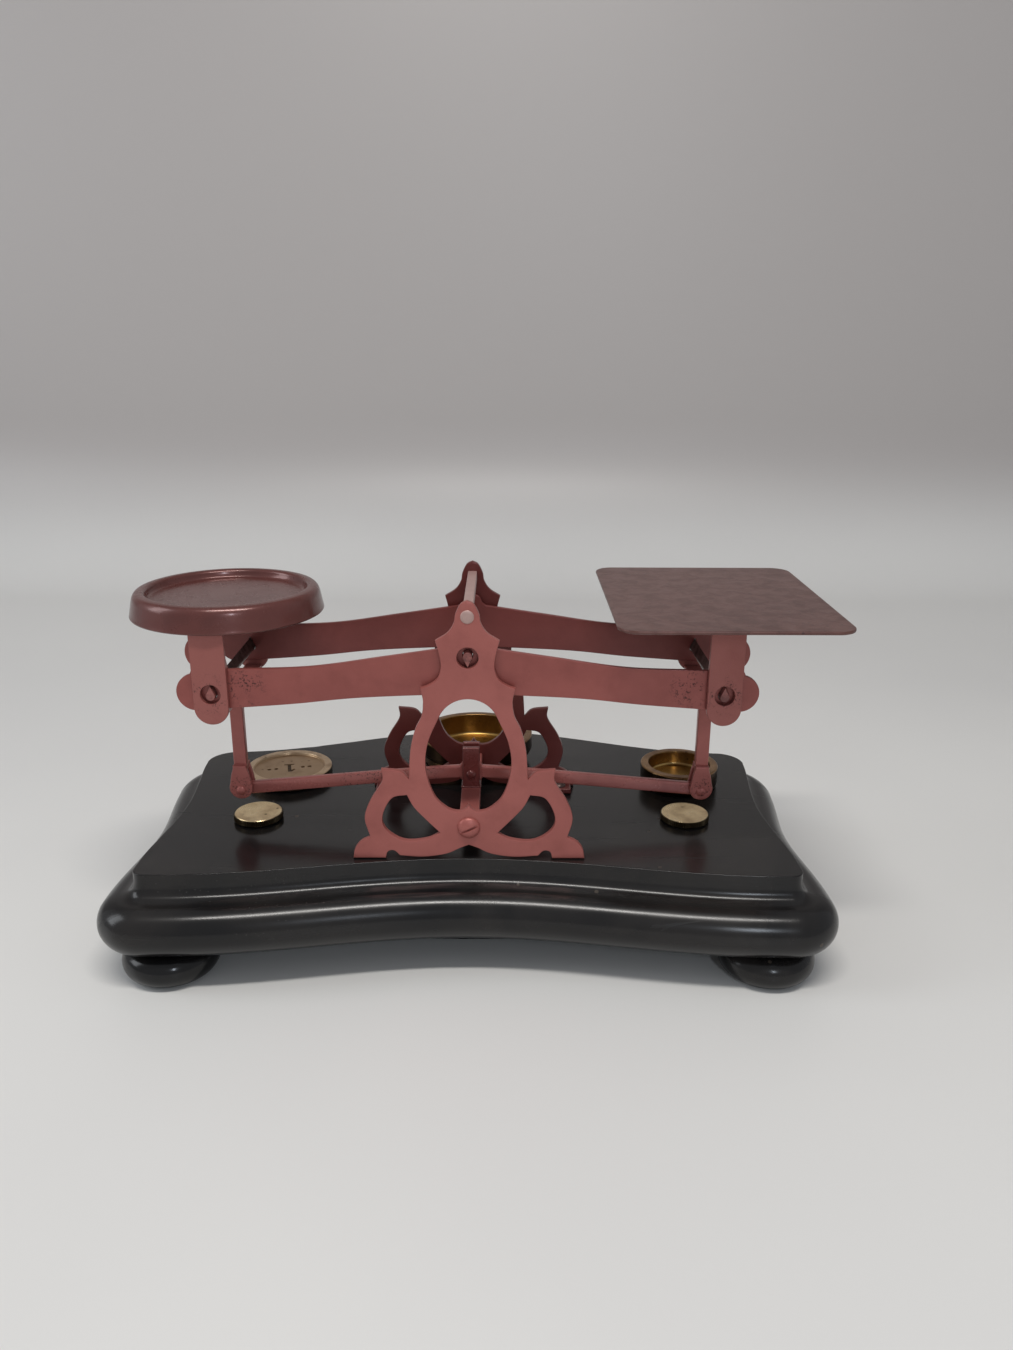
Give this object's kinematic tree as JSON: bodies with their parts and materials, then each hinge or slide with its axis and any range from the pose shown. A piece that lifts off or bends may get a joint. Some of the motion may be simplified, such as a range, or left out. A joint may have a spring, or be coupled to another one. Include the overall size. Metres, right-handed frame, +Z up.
{
  "type": "letter scale",
  "caption": "Equal-arm letter scale on a moulded black board: pierced frames, a rocking double beam, a round pan, a flat plate, a level stay and loose brass weights",
  "frame": {"origin": "on the table under the middle of the board's bounding box", "axes": "+X to the letter plate along the board's length, +Y to the back, +Z up"},
  "size_m": [0.2578, 0.163, 0.1331],
  "materials": {
    "base_board": "gloss black lacquer",
    "bun_foot_front_left": "gloss black lacquer",
    "bun_foot_front_right": "gloss black lacquer",
    "bun_foot_back_left": "gloss black lacquer",
    "bun_foot_back_right": "gloss black lacquer",
    "front_frame": "copper-rose metallic paint, satin",
    "rear_frame": "copper-rose metallic paint, satin",
    "top_spacer": "copper-rose metallic paint, satin",
    "cross_bar": "copper-rose metallic paint, satin",
    "cross_bar_screw_front": "copper-rose metallic paint, satin",
    "cross_bar_screw_rear": "copper-rose metallic paint, satin",
    "frame_foot_screw_front_left": "dark steel",
    "frame_foot_screw_front_right": "dark steel",
    "frame_foot_screw_rear_left": "dark steel",
    "frame_foot_screw_rear_right": "dark steel",
    "stay_post": "copper-rose metallic paint, satin",
    "stay_pivot_pin": "copper-rose metallic paint, satin",
    "beam_plate_front": "copper-rose metallic paint, semi-gloss",
    "beam_plate_rear": "copper-rose metallic paint, semi-gloss",
    "centre_knife_bar": "dark steel",
    "left_knife_bar": "dark steel",
    "right_knife_bar": "dark steel",
    "left_stirrup": "copper-rose metallic paint, satin",
    "left_bridge": "copper-rose metallic paint, satin",
    "left_stem": "copper-rose metallic paint, satin",
    "left_fork_pin": "copper-rose metallic paint, satin",
    "round_pan": "copper-rose metallic paint, semi-gloss",
    "right_stirrup": "copper-rose metallic paint, satin",
    "right_bridge": "copper-rose metallic paint, satin",
    "right_stem": "copper-rose metallic paint, satin",
    "right_fork_pin": "copper-rose metallic paint, satin",
    "letter_plate": "copper-rose metallic paint, semi-gloss",
    "stay_bar": "copper-rose metallic paint, satin",
    "large_cup_weight": "aged brass",
    "small_cup_weight": "aged brass",
    "rimmed_disc_weight": "aged brass",
    "left_coin_weight": "pale worn brass",
    "right_coin_weight": "pale worn brass"
  },
  "bodies": {
    "stand": {"base_board": "base_board", "bun_foot_front_left": "bun_foot_front_left", "bun_foot_front_right": "bun_foot_front_right", "bun_foot_back_left": "bun_foot_back_left", "bun_foot_back_right": "bun_foot_back_right", "front_frame": "front_frame", "rear_frame": "rear_frame", "top_spacer": "top_spacer", "cross_bar": "cross_bar", "cross_bar_screw_front": "cross_bar_screw_front", "cross_bar_screw_rear": "cross_bar_screw_rear", "frame_foot_screw_front_left": "frame_foot_screw_front_left", "frame_foot_screw_front_right": "frame_foot_screw_front_right", "frame_foot_screw_rear_left": "frame_foot_screw_rear_left", "frame_foot_screw_rear_right": "frame_foot_screw_rear_right", "stay_post": "stay_post", "stay_pivot_pin": "stay_pivot_pin"},
    "beam": {"beam_plate_front": "beam_plate_front", "beam_plate_rear": "beam_plate_rear", "centre_knife_bar": "centre_knife_bar", "left_knife_bar": "left_knife_bar", "right_knife_bar": "right_knife_bar"},
    "left_carrier": {"left_stirrup": "left_stirrup", "left_bridge": "left_bridge", "left_stem": "left_stem", "left_fork_pin": "left_fork_pin", "round_pan": "round_pan"},
    "right_carrier": {"right_stirrup": "right_stirrup", "right_bridge": "right_bridge", "right_stem": "right_stem", "right_fork_pin": "right_fork_pin", "letter_plate": "letter_plate"},
    "stay": {"stay_bar": "stay_bar"},
    "large_cup": {"large_cup_weight": "large_cup_weight"},
    "small_cup": {"small_cup_weight": "small_cup_weight"},
    "rimmed_disc": {"rimmed_disc_weight": "rimmed_disc_weight"},
    "left_coin": {"left_coin_weight": "left_coin_weight"},
    "right_coin": {"right_coin_weight": "right_coin_weight"}
  },
  "joints": [
    {"name": "beam_tilt", "type": "hinge", "parent": "stand", "child": "beam", "pos_m": [0, -0.024, 0.1104], "axis": [0, 1, 0], "range_deg": [-4, 4]},
    {"name": "left_carrier_swing", "type": "hinge", "parent": "beam", "child": "left_carrier", "pos_m": [-0.086, -0.024, 0.10345], "axis": [0, 1, 0], "range_deg": [-4, 4]},
    {"name": "right_carrier_swing", "type": "hinge", "parent": "beam", "child": "right_carrier", "pos_m": [0.086, -0.024, 0.10345], "axis": [0, 1, 0], "range_deg": [-4, 4]},
    {"name": "stay_tilt", "type": "hinge", "parent": "stand", "child": "stay", "pos_m": [0, -0.024, 0.05965], "axis": [0, 1, 0], "range_deg": [-4, 4]},
    {"name": "large_cup_lift", "type": "slide", "parent": "stand", "child": "large_cup", "axis": [0, 0, 1], "range_m": [0, 0.02]},
    {"name": "small_cup_lift", "type": "slide", "parent": "stand", "child": "small_cup", "axis": [0, 0, 1], "range_m": [0, 0.02]},
    {"name": "rimmed_disc_lift", "type": "slide", "parent": "stand", "child": "rimmed_disc", "axis": [0, 0, 1], "range_m": [0, 0.02]},
    {"name": "left_coin_draw", "type": "slide", "parent": "stand", "child": "left_coin", "axis": [0, -1, 0], "range_m": [0, 0.014]},
    {"name": "right_coin_draw", "type": "slide", "parent": "stand", "child": "right_coin", "axis": [0, -1, 0], "range_m": [0, 0.014]}
  ],
  "couplings": [
    {"joint": "left_carrier_swing", "follows": "beam_tilt", "ratio": -1},
    {"joint": "right_carrier_swing", "follows": "beam_tilt", "ratio": -1},
    {"joint": "stay_tilt", "follows": "beam_tilt", "ratio": 1}
  ]
}
